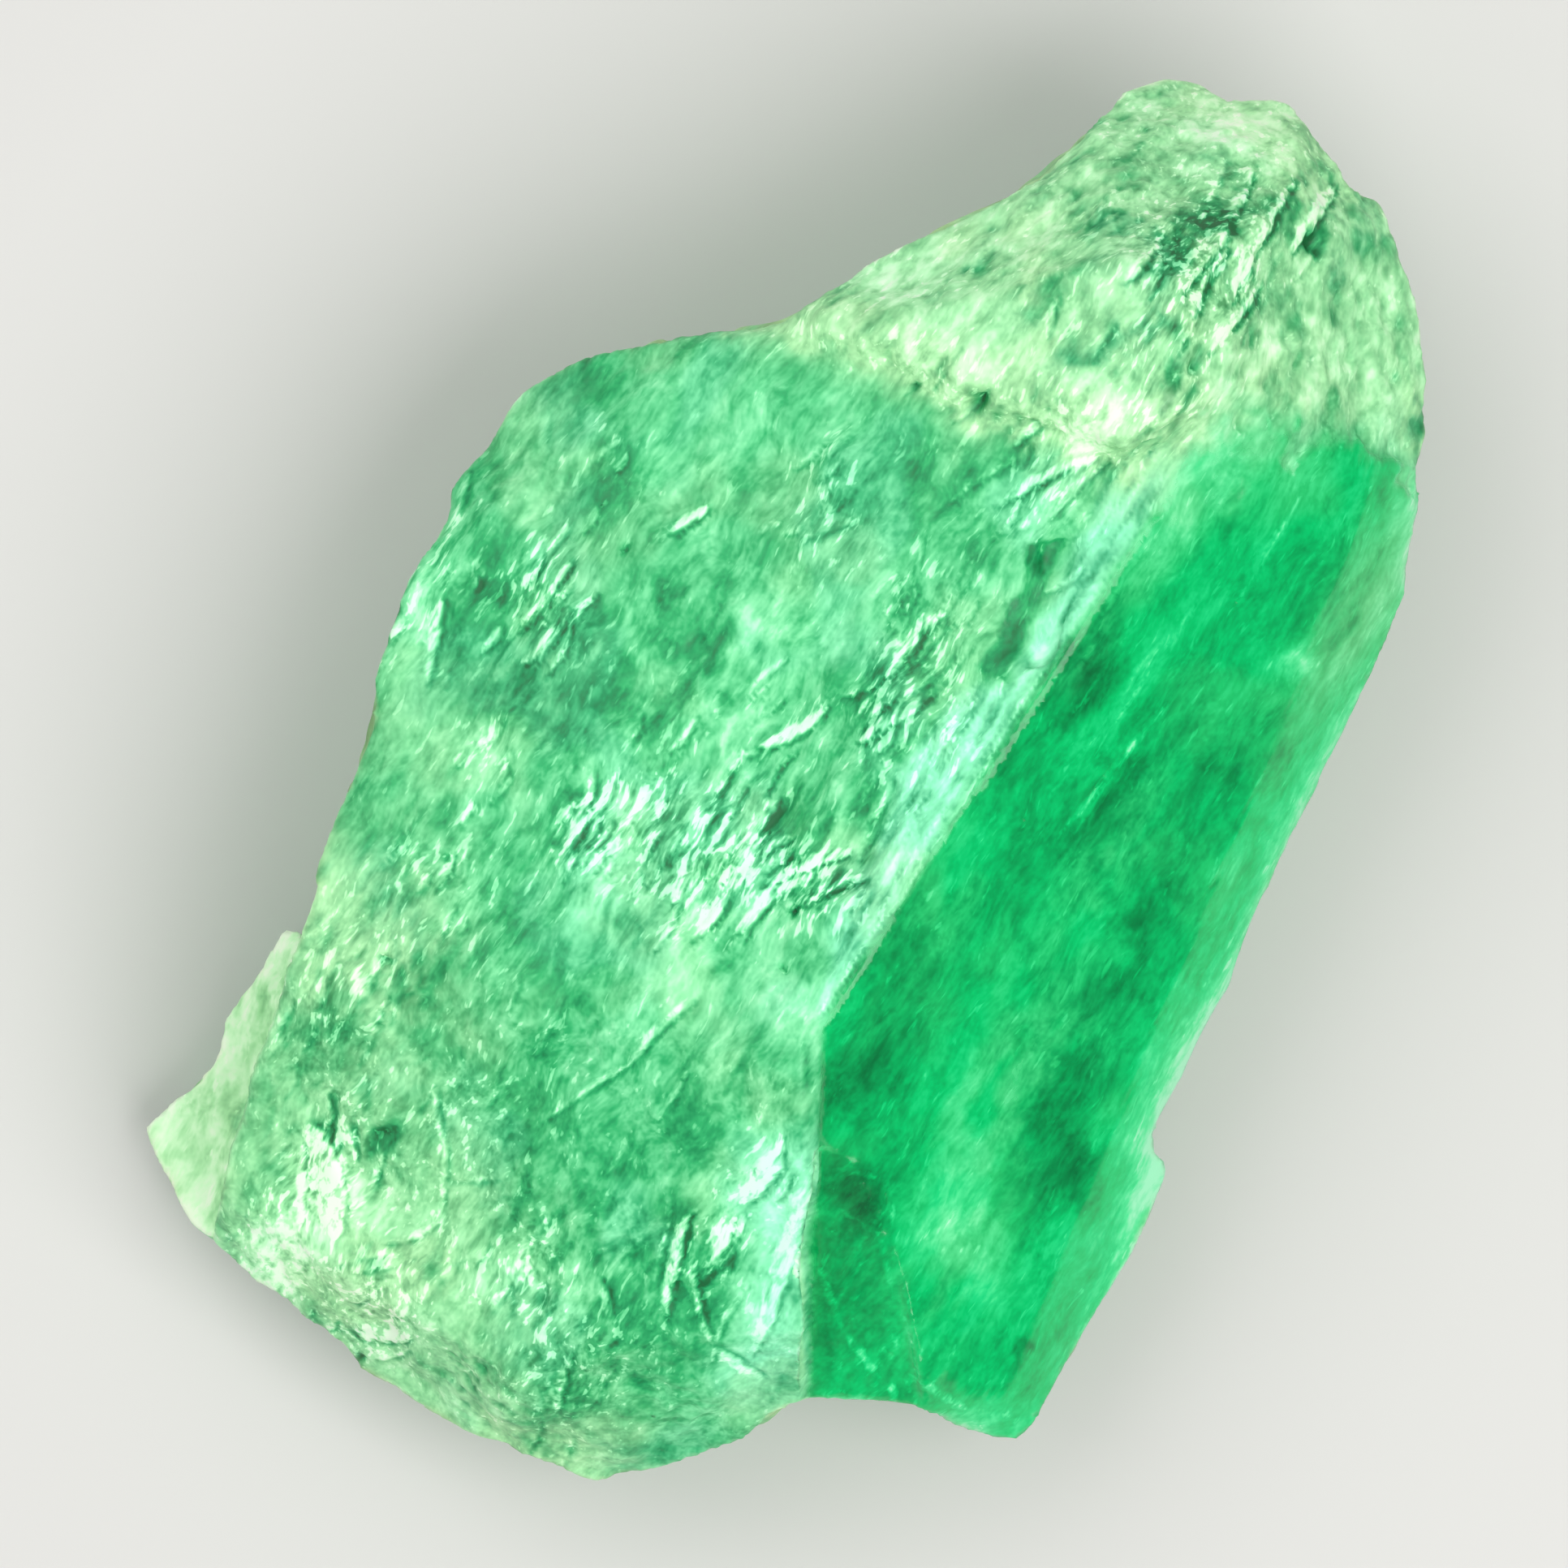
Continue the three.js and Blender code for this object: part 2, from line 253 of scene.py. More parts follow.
# Bundles of splinters: middle, reach along and across, heading, how many, length, half width,
# height and whiteness
BUNDLES = [
    ((-3.6, -0.8), (0.5, 0.35), 65, 16, 0.9, 0.05, 0.10, 1.0),     # left side of the basin
    ((-1.1, -1.4), (0.9, 0.5), 60, 34, 0.9, 0.06, 0.12, 1.0),      # middle of the basin
    ((0.6, -1.9), (0.5, 0.7), 25, 16, 0.6, 0.09, 0.12, 1.0),       # braided crests
    ((-2.4, -0.6), (0.8, 0.9), 62, 26, 0.5, 0.04, 0.06, 0.7),
    ((-4.5, 4.0), (0.6, 0.35), 55, 14, 0.6, 0.07, 0.08, 0.9),      # upper left bundle
    ((-4.1, 2.9), (0.7, 0.5), 52, 10, 0.8, 0.05, 0.07, 0.9),
    ((-5.4, 0.7), (0.4, 0.3), 60, 10, 0.4, 0.08, 0.06, 0.9),
    ((2.4, 2.8), (0.9, 0.5), 62, 30, 0.8, 0.03, 0.05, 0.7),        # hair lines by the strip
    ((1.8, 1.2), (0.6, 0.4), 32, 8, 0.8, 0.08, 0.08, 0.8),
    ((-0.1, 1.1), (0.5, 0.3), 35, 6, 0.7, 0.06, 0.07, 0.9),
    ((2.6, 0.6), (1.4, 0.5), 55, 40, 0.7, 0.035, 0.05, 0.6),
    ((0.9, 4.9), (0.8, 0.5), 38, 16, 0.6, 0.07, 0.06, 0.75),
    ((5.0, 5.6), (0.8, 0.4), 38, 12, 0.9, 0.07, 0.07, 0.8),
    ((7.6, 9.4), (1.2, 0.8), 60, 14, 1.0, 0.04, 0.05, 0.8),        # laths on the cap
    ((-8.5, -7.1), (0.9, 0.3), 78, 22, 0.5, 0.10, 0.10, 1.0),      # icy patch, lower left
    ((-7.5, -10.0), (0.5, 0.4), 20, 10, 0.5, 0.09, 0.07, 0.95),
    ((-9.2, -8.6), (0.8, 0.7), 40, 36, 0.3, 0.06, 0.04, 0.7),
    ((-7.3, -9.2), (0.6, 0.5), 12, 14, 0.9, 0.03, 0.04, 0.5),
    ((-4.8, -8.9), (0.5, 0.4), 60, 14, 0.5, 0.06, 0.05, 0.8),
    ((-1.4, -8.7), (0.8, 0.4), 68, 12, 1.0, 0.06, 0.08, 0.9),      # blades, lower end
    ((-0.4, -7.1), (0.5, 0.3), 48, 7, 0.9, 0.10, 0.10, 1.0),
    ((-4.0, -10.6), (0.9, 0.8), 62, 16, 0.6, 0.05, 0.05, 0.7),
    ((-7.0, 3.3), (1.6, 0.4), 62, 34, 0.5, 0.05, 0.05, 0.7),       # left rim
    ((-3.4, 6.3), (0.4, 0.3), 45, 7, 0.4, 0.08, 0.06, 0.9),
    ((-8.2, -3.8), (1.2, 0.5), 66, 26, 0.35, 0.05, 0.04, 0.7),
    ((-6.2, -1.8), (0.8, 0.8), 60, 12, 0.5, 0.04, 0.05, 0.8),
    ((-5.9, -6.3), (1.6, 1.2), 70, 26, 0.6, 0.03, 0.03, 0.5),
    ((1.8, -10.9), (0.3, 0.4), 100, 12, 0.3, 0.08, 0.10, 0.9),     # crumbs on the flake
]

# Single splinters and blades: start, end, half width, height, whiteness
BLADES = [
    ((-2.1, 4.6), (-1.4, 5.1), 0.07, 0.09, 1.0), ((-2.14, 0.6), (-1.6, 1.25), 0.05, 0.07, 0.9),
    ((-0.46, 0.7), (0.76, 1.4), 0.10, 0.10, 1.0), ((1.43, 0.8), (2.69, 1.7), 0.12, 0.12, 0.9),
    ((1.9, 1.9), (2.9, 3.2), 0.09, 0.10, 0.8), ((-1.67, -3.9), (-2.78, -5.1), 0.07, 0.08, 0.9),
    ((-2.78, -5.1), (-4.3, -6.1), 0.05, 0.06, 0.8), ((-1.8, -5.3), (-2.4, -6.2), 0.03, 0.05, 0.7),
    ((-0.4, -0.5), (-1.7, -2.9), 0.12, 0.14, 1.0), ((0.3, -1.3), (-0.9, -2.7), 0.10, 0.12, 1.0),
    ((-0.1, -1.7), (1.2, -1.2), 0.12, 0.14, 1.0), ((0.2, -2.2), (1.5, -1.7), 0.10, 0.12, 1.0),
    ((-3.5, 0.0), (-4.0, -1.6), 0.09, 0.10, 1.0), ((-3.9, 4.1), (-4.9, 2.8), 0.08, 0.09, 1.0),
    ((-3.9, 3.2), (-4.8, 2.2), 0.09, 0.09, 1.0), ((-6.1, -1.3), (-6.4, -1.9), 0.07, 0.08, 1.0),
    ((-6.3, 3.4), (-6.6, 1.9), 0.09, 0.07, 0.8), ((-0.7, 1.6), (0.0, 2.3), 0.04, 0.06, 0.7),
    ((-6.43, -5.6), (-6.23, -6.7), 0.035, 0.05, 0.9), ((-6.23, -6.7), (-6.4, -8.1), 0.04, 0.05, 0.9),
    ((-6.4, -8.1), (-7.4, -8.5), 0.05, 0.05, 0.9), ((-7.4, -6.8), (-7.9, -7.8), 0.04, 0.05, 0.8),
    ((-6.1, -7.3), (-5.3, -7.25), 0.03, 0.04, 0.7), ((-1.75, -7.9), (-2.2, -9.8), 0.12, 0.12, 1.0),
    ((-1.7, -8.9), (-1.3, -10.4), 0.06, 0.07, 0.9), ((-1.3, -10.4), (-0.4, -11.0), 0.07, 0.07, 0.9),
    ((0.0, -6.5), (-0.8, -7.7), 0.20, 0.14, 1.0), ((-1.0, -8.1), (-1.5, -8.9), 0.12, 0.10, 0.9),
    ((0.4, -7.2), (-0.6, -10.5), 0.18, 0.08, 0.7), ((0.9, -8.9), (0.74, -10.6), 0.06, 0.08, 0.9),
    ((-3.9, -10.5), (-4.2, -11.5), 0.07, 0.07, 0.9), ((-3.4, -9.2), (-3.2, -9.8), 0.08, 0.06, 0.8),
    ((-8.8, -6.3), (-8.3, -8.4), 0.30, 0.12, 1.0), ((-8.0, -10.1), (-6.9, -10.2), 0.16, 0.10, 1.0),
    ((8.6, 11.2), (7.3, 9.0), 0.09, 0.13, 0.9), ((10.1, 11.0), (9.3, 9.8), 0.14, 0.14, 1.0),
    ((8.1, 9.75), (7.5, 8.6), 0.07, 0.10, 0.9), ((9.3, 11.0), (8.1, 8.8), 0.10, 0.12, 0.95),
    ((6.9, 10.05), (6.2, 9.2), 0.08, 0.09, 0.9), ((6.9, 9.7), (6.6, 8.9), 0.06, 0.08, 0.9),
    ((7.8, 9.5), (7.2, 7.9), 0.05, 0.07, 0.8), ((8.7, 9.2), (7.8, 7.95), 0.07, 0.08, 0.9),
    ((5.0, 8.9), (4.8, 8.2), 0.04, 0.06, 0.8), ((8.6, 8.9), (8.1, 8.3), 0.05, 0.06, 0.8),
    ((0.66, -4.2), (1.45, -3.0), 0.035, 0.05, 0.8), ((1.6, -2.75), (2.6, -1.25), 0.03, 0.05, 0.7),
    ((2.8, -0.9), (3.95, 0.85), 0.03, 0.04, 0.7), ((4.1, 1.1), (4.85, 2.2), 0.035, 0.04, 0.8),
    ((3.9, 5.1), (5.7, 6.0), 0.09, 0.08, 0.9), ((5.9, 5.9), (4.9, 4.9), 0.06, 0.06, 0.8),
]
# Growth lines on the clear face: start, end, half width, height and whiteness
GROWTH_LINES = [
    ((9.5, 5.3), (8.4, 3.4), 0.025, 0.05, 0.8), ((8.4, 4.0), (6.8, 1.4), 0.02, 0.04, 0.5),
    ((7.2, 1.7), (5.0, -1.0), 0.045, 0.07, 1.0), ((6.5, 2.0), (4.6, -0.6), 0.02, 0.04, 0.4),
    ((5.9, 1.1), (4.9, -0.5), 0.03, 0.05, 0.4), ((6.2, 0.4), (5.3, -0.9), 0.05, 0.03, 0.5),
    ((8.8, 7.0), (8.3, 6.2), 0.05, 0.05, 0.8), ((2.6, -7.2), (2.2, -8.6), 0.04, 0.03, 0.4),
    ((7.6, 3.4), (6.0, 1.0), 0.03, 0.04, 0.6), ((6.6, 3.2), (5.3, 1.3), 0.02, 0.04, 0.5),
    ((6.9, 2.6), (6.0, 1.4), 0.08, 0.03, 0.35), ((9.9, 4.6), (8.9, 2.9), 0.02, 0.03, 0.5),
    # round and across the chipped flake
    ((0.9, -7.05), (1.7, -7.2), 0.04, 0.05, 0.7), ((1.9, -7.3), (2.0, -8.1), 0.03, 0.04, 0.8),
    ((1.0, -7.8), (1.8, -8.3), 0.03, 0.04, 0.6), ((1.8, -8.3), (2.0, -9.5), 0.05, 0.04, 0.5),
    ((0.65, -8.9), (1.1, -10.1), 0.06, 0.03, 0.6), ((1.1, -10.1), (1.8, -11.0), 0.07, 0.03, 0.7),
    ((2.1, -9.4), (2.55, -11.1), 0.035, 0.03, 0.5), ((2.3, -10.9), (3.4, -11.6), 0.08, 0.05, 0.7),
]

# Splinters: narrow, pointed crests that lie with the grain. Each keeps a gap, which is the
# distance to its edge, negative inside, and a steep fall on its lower right side.
GRAIN_HEADING = 58               # degrees from +X
LOOSE_SPLINTERS = 300
FACE_LINES = 110
SPLINTER_RISE = 0.36             # how far a splinter stands out, as a share of its height
FAR = 0.3                        # millimetres from a splinter, past which it changes nothing
draw = np.random.default_rng(11)
strokes = [(*blade, 0.06, False) for blade in BLADES] + [(*line, 0.0, True) for line in GROWTH_LINES]
zone = np.zeros(len(rest))                        # how thickly splinters lie
for middle, reach, heading, count, length, half_width, height, white in BUNDLES:
    on_face = inside(np.array([middle]), CLEAR_FACE)[0] > 0
    away = reaches_away(wandering, middle, reach[0] + 0.25, reach[1] + 0.2)
    zone += white * min(1, count / 16) * np.exp(-away * 0.6)
    for _ in range(count // 2):                   # the other half only whiten the fibres
        place = (np.array(middle) + ALONG[:2] * draw.normal() * reach[0]
                 + ACROSS[:2] * draw.normal() * reach[1])
        turn = math.radians(heading + draw.normal() * 9)
        half = np.array([math.cos(turn), math.sin(turn)]) * length * draw.uniform(0.25, 0.75)
        strokes.append((place - half, place + half, half_width * draw.uniform(0.4, 1.0),
                        height * draw.uniform(0.5, 1.2), white * draw.uniform(0.5, 1), 0.1, on_face))
dome = step(0.9, 1.6, np.linalg.norm((plan - (10.3, 8.3)) / (1.4, 2.2), axis=1))
zone = np.minimum(zone + (0.25 * cap + 0.3 * riser) * dome, 1) * top * (1 - clear)
for _ in range(LOOSE_SPLINTERS):                  # over all the broken surface
    place = np.array([draw.uniform(-11, 11), draw.uniform(-12.5, 12.5)])
    turn = math.radians(GRAIN_HEADING + draw.normal() * 16)
    half = np.array([math.cos(turn), math.sin(turn)]) * draw.uniform(0.08, 0.4)
    strokes.append((place - half, place + half, draw.uniform(0.015, 0.045),
                    draw.uniform(0.01, 0.04), draw.uniform(0.05, 0.4), 0.1, False))
for _ in range(FACE_LINES):                       # faint growth lines on the clear face
    place = ALONG[:2] * draw.uniform(-11, 9) + ACROSS[:2] * draw.uniform(3.3, 8.6)
    half = ALONG[:2] * draw.uniform(0.15, 1.3)
    strokes.append((place - half, place + half, draw.uniform(0.005, 0.03),
                    draw.uniform(0.005, 0.02), draw.uniform(0.05, 0.4), 0.0, True))

gap = np.full(len(rest), FAR)
crest = np.zeros(len(rest))
whiteness = np.zeros(len(rest))
groove_and_painted_shadow = np.zeros(len(rest))
fray = lumps(rest, 0.22, 2, 5, stretch=2) * 0.055
on_clear = clear > 0.5
for number, (start, end, half_width, height, white, bow, on_face) in enumerate(strokes):
    start, end = np.array(start), np.array(end)
    line = end - start
    length = np.linalg.norm(line)
    lower_right = np.array([line[1], -line[0]]) / length
    lower_right *= np.sign(lower_right @ ACROSS[:2]) or 1
    middle = (start + end) / 2
    reach = length / 2 + FAR
    near = np.flatnonzero((np.abs(plan[:, 0] - middle[0]) < reach)
                          & (np.abs(plan[:, 1] - middle[1]) < reach) & (top > 0))
    near = near[on_clear[near] == on_face]
    if not len(near):
        continue
    offset = plan[near] - start
    share = np.clip(offset @ line / length ** 2, 0, 1)
    bend = bow * length * 4 * share * (1 - share) * math.sin(number)
    off_axis = offset - share[:, None] * line - bend[:, None] * lower_right
    pointed = half_width * np.sqrt(np.clip(1 - (2 * share - 1) ** 2, 0, 1)) + 0.004
    torn = 0 if on_face else min(1, half_width / 0.12)
    edge_gap = np.linalg.norm(off_axis, axis=1) - pointed + fray[near] * torn
    rightward = np.clip(off_axis @ lower_right / (half_width + 0.02), -1, 1)
    rise = height * SPLINTER_RISE * (0.65 + 0.35 * rightward) * step(0.03, -0.05, edge_gap)
    crest[near] = np.maximum(crest[near], rise)
    closer = edge_gap < gap[near]
    gap[near[closer]] = edge_gap[closer]
    whiteness[near[closer]] = white * 0.9
    # The dark line just beyond each splinter's lower right side: a small groove in the relief, and
    # painted shadow in the tone
    shade = (np.exp(-((edge_gap - 0.05) / 0.05) ** 2) * step(-0.3, 0.8, rightward)
             * min(1, height / 0.09))
    groove_and_painted_shadow[near] = np.maximum(groove_and_painted_shadow[near], shade)

joined = read(skin.edges, "vertices", 2).astype(int)
neighbours = np.bincount(joined.ravel(), minlength=len(rest))


def evened(values, rounds):
    """Each place's value shared with its neighbours' on the skin, a little more each round"""
    for _ in range(rounds):
        around = (np.bincount(joined[:, 0], values[joined[:, 1]], len(values))
                  + np.bincount(joined[:, 1], values[joined[:, 0]], len(values)))
        values = 0.4 * values + 0.6 * around / neighbours
    return values


# Pits: place, radius and depth, in millimetres
PITS = [(3.6, 7.0, 0.14, 0.25), (2.5, 7.3, 0.08, 0.15), (-7.4, -3.3, 0.10, 0.2),
        (0.0, -3.45, 0.07, 0.1), (-3.0, 4.3, 0.09, 0.12), (9.8, 9.9, 0.16, 0.2),
        (7.5, 7.6, 0.12, 0.12), (1.2, -1.9, 0.12, 0.15), (0.1, -2.3, 0.10, 0.15),
        (-7.3, -6.5, 0.2, 0.15), (-7.9, -10.7, 0.15, 0.1), (-6.2, -1.4, 0.06, 0.08)]

# Relief, in millimetres: slow swells, plates that end in small scarps, and hackle that is
# strongest in the basin. The panel is smooth and has no splinters.
swell = lumps(rest, 4.5, 2, 21) * 0.22
plates = lumps(rest, 1.5, 3, 22, stretch=2.0) * 3.2
plates = (np.floor(plates) + step(0.5, 1.0, plates - np.floor(plates))) * 0.04
hackle = 1 - 2.2 * np.abs(lumps(rest, 0.42, 3, 23, stretch=3.5))
hackle_zone = step(-0.25, 0.6, lumps(rest, 2.6, 2, 24) + basin * 0.9 + riser * 0.6 + cap * 0.15)
grit = lumps(rest, 0.3, 3, 25, stretch=1.6)
lines = lumps(rest, 0.16, 2, 26, stretch=14)
pebbles = np.abs(lumps(rest, 0.5, 2, 27)) * (riser * 0.7 + cap * 0.3)
crest *= 1 - panel
groove_and_painted_shadow *= 1 - panel
whiteness *= 1 - panel
relief = rough * (swell + plates * (1 - 0.7 * strip) + hackle * (0.005 + 0.024 * hackle_zone)
                  + grit * (0.010 + 0.01 * cap)) + pebbles * 0.04
relief += crest - groove_and_painted_shadow * 0.03 * rough
relief += clear * (lines * 0.004 + lumps(rest, 2.2, 2, 28, stretch=5) * 0.03)
# The walls are stepped, only cut inwards, and evened out near the top edge to keep that clean
layers = lumps(rest * (1, 1, 1.6), 1.5, 4, 30)
wall_steps = layers * 2.4
wall_steps = np.floor(wall_steps) + step(0.6, 1.0, wall_steps - np.floor(wall_steps))
wall_relief = lumps(rest, 2.2, 2, 29) * 0.25 + wall_steps * 0.12 + hackle * 0.025 + grit * 0.02
thick_wall = wall * (1 - foot) * step(0.15, 1.0, thickness)
relief += thick_wall * (wall_relief - wall_relief.max() * 0.7)
relief -= np.maximum(relief, 0) * wall
near_wall = evened(wall, 8)
relief += (evened(relief, 14) - relief) * step(0.1, 0.5, near_wall)
# This edge is made lighter in the tone below: partly its pale, yellowish rim, partly painted light
# that lifts the shade on its steep slope
outline = step(0.0, 0.5, near_wall) * top         # the narrow edge all round, seen from above
rim = evened(rim, 15)
relief += strip * lines * 0.035 - panel * 0.05 - flake * 0.02 * np.abs(grit)
# Each pit is also painted darker in the tone: painted shade in the hollow
pit_painted_shade = np.zeros(len(rest))
for x, y, radius, depth in PITS:
    hole = np.exp(-(np.linalg.norm(wandering - (x, y), axis=1) / radius) ** 2) * top
    relief -= depth * hole
    pit_painted_shade = np.maximum(pit_painted_shade, hole)
relief *= (1 - 0.5 * edge) * (1 - 0.8 * foot)
moved = rest + facing * relief[:, None]
moved[:, 2] = np.maximum(moved[:, 2], 0)
skin.vertices.foreach_set("co", moved.ravel())

# Clouds in the stone near the surface: place, reach along and across the long axis, and how much
# lighter or darker the green is there
CLOUDS = [
    (-4.0, 7.1, 1.1, 0.7, -0.16), (-3.1, 5.5, 1.0, 0.6, -0.22), (-5.5, 4.4, 0.9, 0.35, -0.16),
    (-5.7, 3.2, 0.8, 0.3, -0.2), (-3.4, 1.6, 1.2, 0.7, -0.2), (-1.8, 2.5, 0.9, 0.6, -0.14),
    (-4.8, 1.4, 0.8, 0.8, -0.1), (-4.3, -3.2, 0.6, 0.5, -0.2), (-4.2, -4.6, 1.0, 0.5, -0.15),
    (-7.8, -0.8, 1.3, 0.8, -0.08), (2.0, 1.7, 1.3, 0.8, -0.2), (2.6, 5.5, 1.3, 0.9, -0.12),
    (3.6, 5.9, 0.4, 0.35, -0.2), (-0.4, 0.5, 0.5, 0.4, -0.15), (-2.1, -1.0, 0.9, 0.5, -0.16),
    (0.0, -0.7, 0.8, 0.4, -0.1), (-7.0, -6.8, 0.8, 0.6, -0.08), (-4.9, -7.3, 1.2, 0.8, -0.12),
    (-2.8, -9.8, 1.3, 1.0, -0.2), (-1.5, -9.5, 0.9, 0.5, -0.2), (-4.3, -11.3, 1.0, 0.8, -0.12),
    (-2.2, -6.5, 1.2, 0.7, -0.14), (-1.3, 4.1, 1.4, 0.7, -0.06), (0.3, -3.4, 0.3, 0.25, -0.2),
    (0.5, 2.6, 0.9, 0.8, 0.14), (-3.4, 0.4, 1.2, 0.5, 0.08), (-5.2, 0.8, 0.5, 0.5, 0.2),
    (-3.4, -2.0, 1.2, 0.5, 0.14), (-1.8, -2.8, 0.9, 0.5, 0.14), (0.6, -4.0, 0.8, 0.6, 0.14),
    (-1.0, 7.1, 1.8, 0.7, 0.06), (3.2, 6.5, 1.5, 0.5, 0.12), (4.8, 5.3, 1.1, 0.5, 0.2),
    (-8.2, -7.6, 0.9, 0.6, 0.32), (-9.3, -8.6, 0.9, 0.8, 0.3), (-7.3, -10.3, 0.8, 0.6, 0.2),
    (-6.1, -8.6, 0.6, 0.5, 0.08), (-4.8, -8.8, 0.6, 0.4, 0.15), (0.0, -8.8, 2.0, 0.5, 0.2),
    (-0.6, -7.3, 1.1, 0.5, 0.2), (-7.0, 3.1, 0.9, 0.4, 0.2), (2.4, 7.9, 1.2, 0.5, 0.15),
    (5.6, 6.7, 0.9, 0.6, 0.2), (8.6, 7.9, 1.2, 0.6, 0.1), (7.2, 9.9, 0.8, 0.3, -0.4),
    (6.0, 10.7, 0.9, 0.6, -0.1), (5.7, 7.9, 0.4, 0.35, -0.35), (5.1, 9.1, 0.6, 0.5, -0.15),
    (8.0, 10.4, 0.7, 0.2, -0.4), (7.8, 11.9, 0.9, 1.1, 0.2), (7.0, 9.0, 0.5, 0.2, -0.25),
    (9.3, 10.7, 0.8, 0.25, -0.25), (9.8, 10.0, 0.3, 0.2, -0.3), (10.4, 10.3, 0.7, 0.4, -0.15),
    # on the clear face
    (5.6, 2.0, 0.8, 0.4, -0.2), (6.2, 1.1, 1.4, 0.4, 0.15), (3.5, 0.2, 1.0, 0.6, -0.1),
    (3.0, -1.1, 1.2, 0.6, 0.12), (1.4, -5.5, 0.8, 0.5, -0.12), (5.4, -2.5, 0.8, 0.7, 0.1),
    (6.2, 0.2, 1.6, 0.6, -0.15), (5.0, -6.1, 1.3, 0.6, -0.15), (7.8, 3.1, 1.8, 1.2, 0.1),
    (7.2, 4.1, 0.8, 0.2, -0.12), (6.9, 4.6, 1.3, 0.6, 0.12), (7.7, 5.5, 0.9, 0.5, 0.1),
    (9.5, 2.2, 0.4, 0.4, 0.3), (10.2, 2.8, 0.7, 0.3, -0.15), (8.6, 0.5, 0.9, 0.5, -0.1),
    (6.3, -3.4, 1.4, 0.3, -0.15), (7.1, -4.9, 1.8, 0.6, 0.1), (3.2, -7.7, 1.6, 0.6, 0.2),
    (3.9, -9.2, 1.2, 0.4, 0.2), (4.8, -7.7, 1.4, 0.3, -0.15), (5.6, -8.6, 2.0, 0.5, 0.12),
    (5.05, 2.2, 0.35, 0.12, -0.18), (4.5, -10.5, 0.2, 0.15, -0.2), (6.8, -7.3, 1.2, 0.5, 0.2),
    (3.8, -11.6, 0.8, 0.6, 0.15),
]

# Silky haze under the clear face: place, reach along and across, and amount
HAZE = [(4.2, -5.6, 2.2, 1.1, 0.7), (10.6, 3.4, 2.2, 0.7, 0.35), (3.0, -2.2, 1.5, 0.8, 0.3),
        (6.0, -1.2, 1.8, 0.6, 0.45), (3.2, -8.8, 1.6, 0.8, 0.5), (8.6, 6.2, 1.0, 1.2, 0.5)]

# What the finish needs to know at each place. Tone runs from 0, the darkest green, to 1, white, and
# each part of the stone makes it a little lighter or darker.
calm = 0.45 + 0.55 * step(-0.35, 0.35, lumps(rest, 2.4, 2, 42) + 0.5 * zone)
calm *= 1 - 0.5 * np.exp(-np.sum(((plan - (-4.6, -5.4)) / (3.2, 2.2)) ** 2, axis=1))
grain_tone = (calm * (lumps(rest, 0.34, 3, 31, stretch=1.7) * 0.11
                      + lumps(rest, 0.95, 3, 32, stretch=1.5) * 0.16)
              + lumps(rest, 3.0, 3, 33) * 0.10)
mottle = step(-0.35, 0.35, lumps(rest, 0.8, 3, 43, stretch=1.6)) - 0.5
grain_tone += (cap + 0.8 * shelf) * (0.16 * mottle + 0.10 * lumps(rest, 0.25, 2, 44, stretch=1.4))
clouds = np.zeros(len(rest))
cloud_plan = plan + shift * 2.4
for x, y, reach_along, reach_across, change in CLOUDS:
    clouds += change * np.exp(-reaches_away(cloud_plan, (x, y), reach_along, reach_across)) * top
# The narrow edge all round is painted lighter: partly a pale rim, partly painted light against the
# shade on its steep slope
tone = 0.47 + grain_tone + clouds + 0.28 * outline
tone += (0.05 * basin + 0.05 * zone + 0.08 * cap + 0.04 * riser + 0.36 * shelf + 0.13 * strip
         + 0.1 * wall * layers)
tone += hackle_zone * (hackle - 0.45) * 0.16 * rough * calm
tone += strip * lines * 0.3                       # the strip is drawn out in fine lines
# The clear face is lighter in a band along its outer side, where the stone is thinner
band = step(5.0, 6.8, from_ridge + lumps(rest, 1.8, 3, 39, stretch=3) * 0.9)
# Painted light: the steeper slopes of the clear face are made lighter by how far they tilt from
# straight up
depth_and_painted_light_tone = (0.37 + 0.012 * from_ridge + 0.28 * band + 0.08 * thin
              + 0.12 * step(3.0, 6.5, plan[:, 1]) + 0.29 * step(0.68, 0.35, facing[:, 2])
              + clouds * 1.3 + lines * 0.02
              + lumps(rest, 0.4, 3, 34, stretch=2) * 0.08
              + lumps(rest, 1.6, 3, 35, stretch=1.8) * 0.12)
tone = tone * (1 - clear) + depth_and_painted_light_tone * clear
# The flake is the darkest place, and darker at its upper end
tone -= (step(-0.15, 0.35, inside(wandering, FLAKE)) * top
         * (0.02 + 0.26 * step(-8.8, -7.4, wandering[:, 1])))
# Painted shadow along the lower right side of each splinter, and painted shade in each pit
tone -= 0.35 * groove_and_painted_shadow * (1 - clear) + 0.5 * pit_painted_shade
lower_left = step(-5.5, -9.5, plan[:, 0] + 0.35 * plan[:, 1] + lumps(rest, 2.5, 2, 36))
haze = np.zeros(len(rest))
for x, y, reach_along, reach_across, amount in HAZE:
    away = reaches_away(wandering, (x, y), reach_along, reach_across)
    haze += amount * np.exp(-away) * step(-0.5, 0.4, lumps(rest, 0.7, 3, 40, stretch=1.8))
